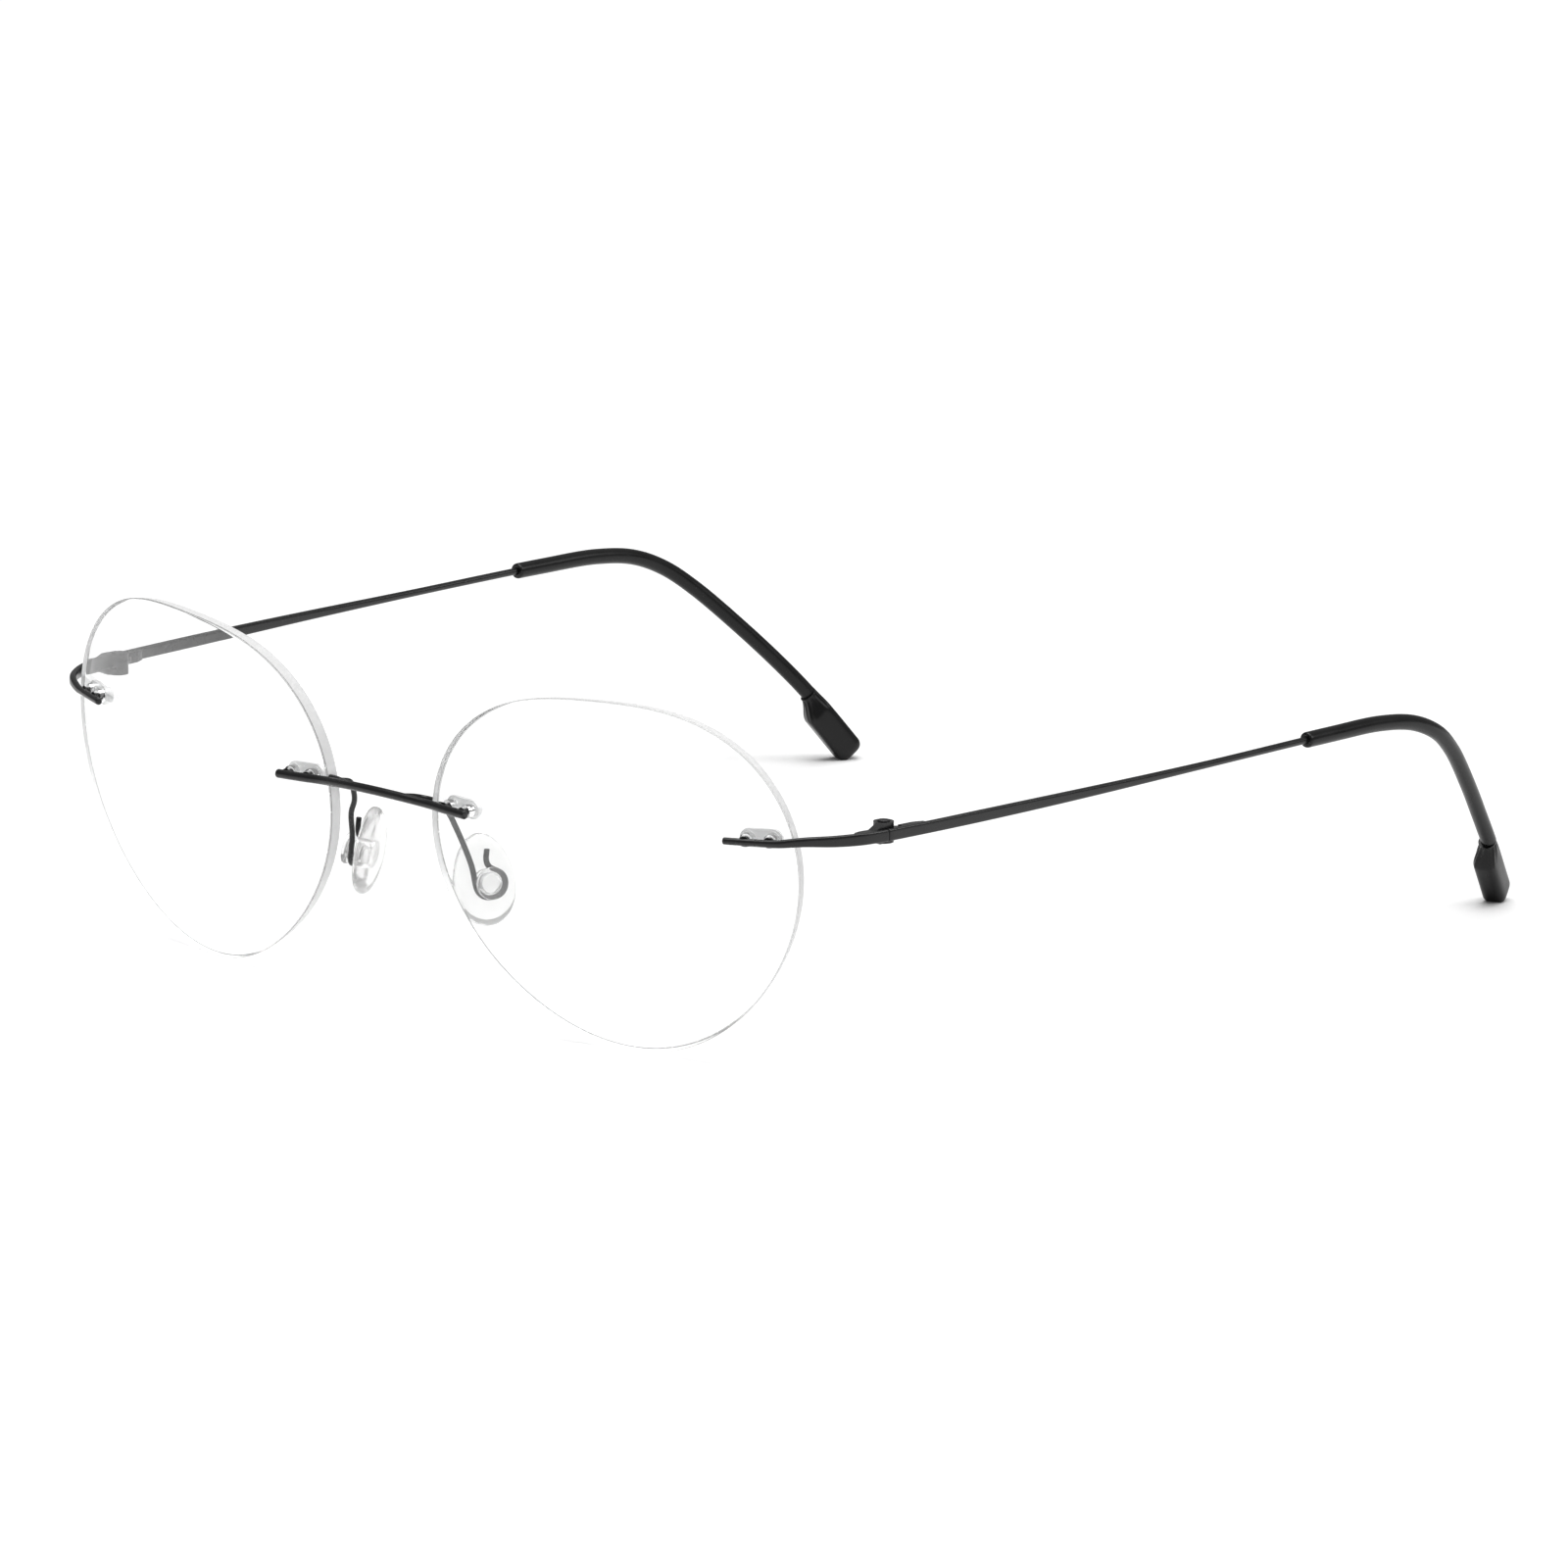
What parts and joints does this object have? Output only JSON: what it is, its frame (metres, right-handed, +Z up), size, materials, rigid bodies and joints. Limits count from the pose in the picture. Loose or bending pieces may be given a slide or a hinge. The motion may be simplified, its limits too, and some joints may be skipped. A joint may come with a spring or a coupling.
{
  "type": "rimless eyeglasses",
  "caption": "Rimless eyeglasses with clear drilled lenses, wire bridge and endpieces, slim temples that fold inward on hinges, and silicone nose pads.",
  "frame": {"origin": "on the floor plane, under the middle of the glasses' box", "axes": "+X towards the wearer's left, +Y from the lenses back along the temples, +Z up"},
  "size_m": [0.1406, 0.151, 0.0458],
  "materials": {
    "clear_lens": "polished, clear",
    "clear_plastic": "clear, moulded",
    "clear_silicone": "soft, translucent",
    "black_metal": "satin black",
    "black_tip_plastic": "satin black"
  },
  "bodies": {
    "front": {"lens_left": "clear_lens", "lens_right": "clear_lens", "bridge": "black_metal", "bridge_inner_pin_left": "black_metal", "bridge_outer_pin_left": "black_metal", "bridge_sleeve_left": "clear_plastic", "endpiece_left": "black_metal", "endpiece_inner_pin_left": "black_metal", "endpiece_outer_pin_left": "black_metal", "endpiece_sleeve_left": "clear_plastic", "pad_arm_left": "black_metal", "hinge_front_leaf_left": "black_metal", "hinge_screw_left": "black_metal", "bridge_inner_pin_right": "black_metal", "bridge_outer_pin_right": "black_metal", "bridge_sleeve_right": "clear_plastic", "endpiece_right": "black_metal", "endpiece_inner_pin_right": "black_metal", "endpiece_outer_pin_right": "black_metal", "endpiece_sleeve_right": "clear_plastic", "pad_arm_right": "black_metal", "hinge_front_leaf_right": "black_metal", "hinge_screw_right": "black_metal"},
    "temple_arm_left": {"temple_left": "black_metal", "temple_tip_left": "black_tip_plastic", "hinge_rear_leaf_left": "black_metal"},
    "temple_arm_right": {"temple_right": "black_metal", "temple_tip_right": "black_tip_plastic", "hinge_rear_leaf_right": "black_metal"},
    "pad_left": {"nose_pad_left": "clear_silicone", "pad_hub_left": "clear_plastic"},
    "pad_right": {"nose_pad_right": "clear_silicone", "pad_hub_right": "clear_plastic"}
  },
  "joints": [
    {"name": "temple_fold_left", "type": "hinge", "parent": "front", "child": "temple_arm_left", "pos_m": [0.06675, -0.05187, 0.03095], "axis": [0, 0, 1], "range_deg": [0, 88]},
    {"name": "temple_fold_right", "type": "hinge", "parent": "front", "child": "temple_arm_right", "pos_m": [-0.06675, -0.05187, 0.03095], "axis": [0, 0, -1], "range_deg": [0, 80]},
    {"name": "nose_pad_rock_left", "type": "hinge", "parent": "front", "child": "pad_left", "pos_m": [0.01215, -0.06477, 0.0176], "axis": [0.3914, 0.9115, 0.1262], "range_deg": [-7, 7]},
    {"name": "nose_pad_rock_right", "type": "hinge", "parent": "front", "child": "pad_right", "pos_m": [-0.01215, -0.06477, 0.0176], "axis": [0.3914, -0.9115, -0.1262], "range_deg": [-7, 7]}
  ]
}
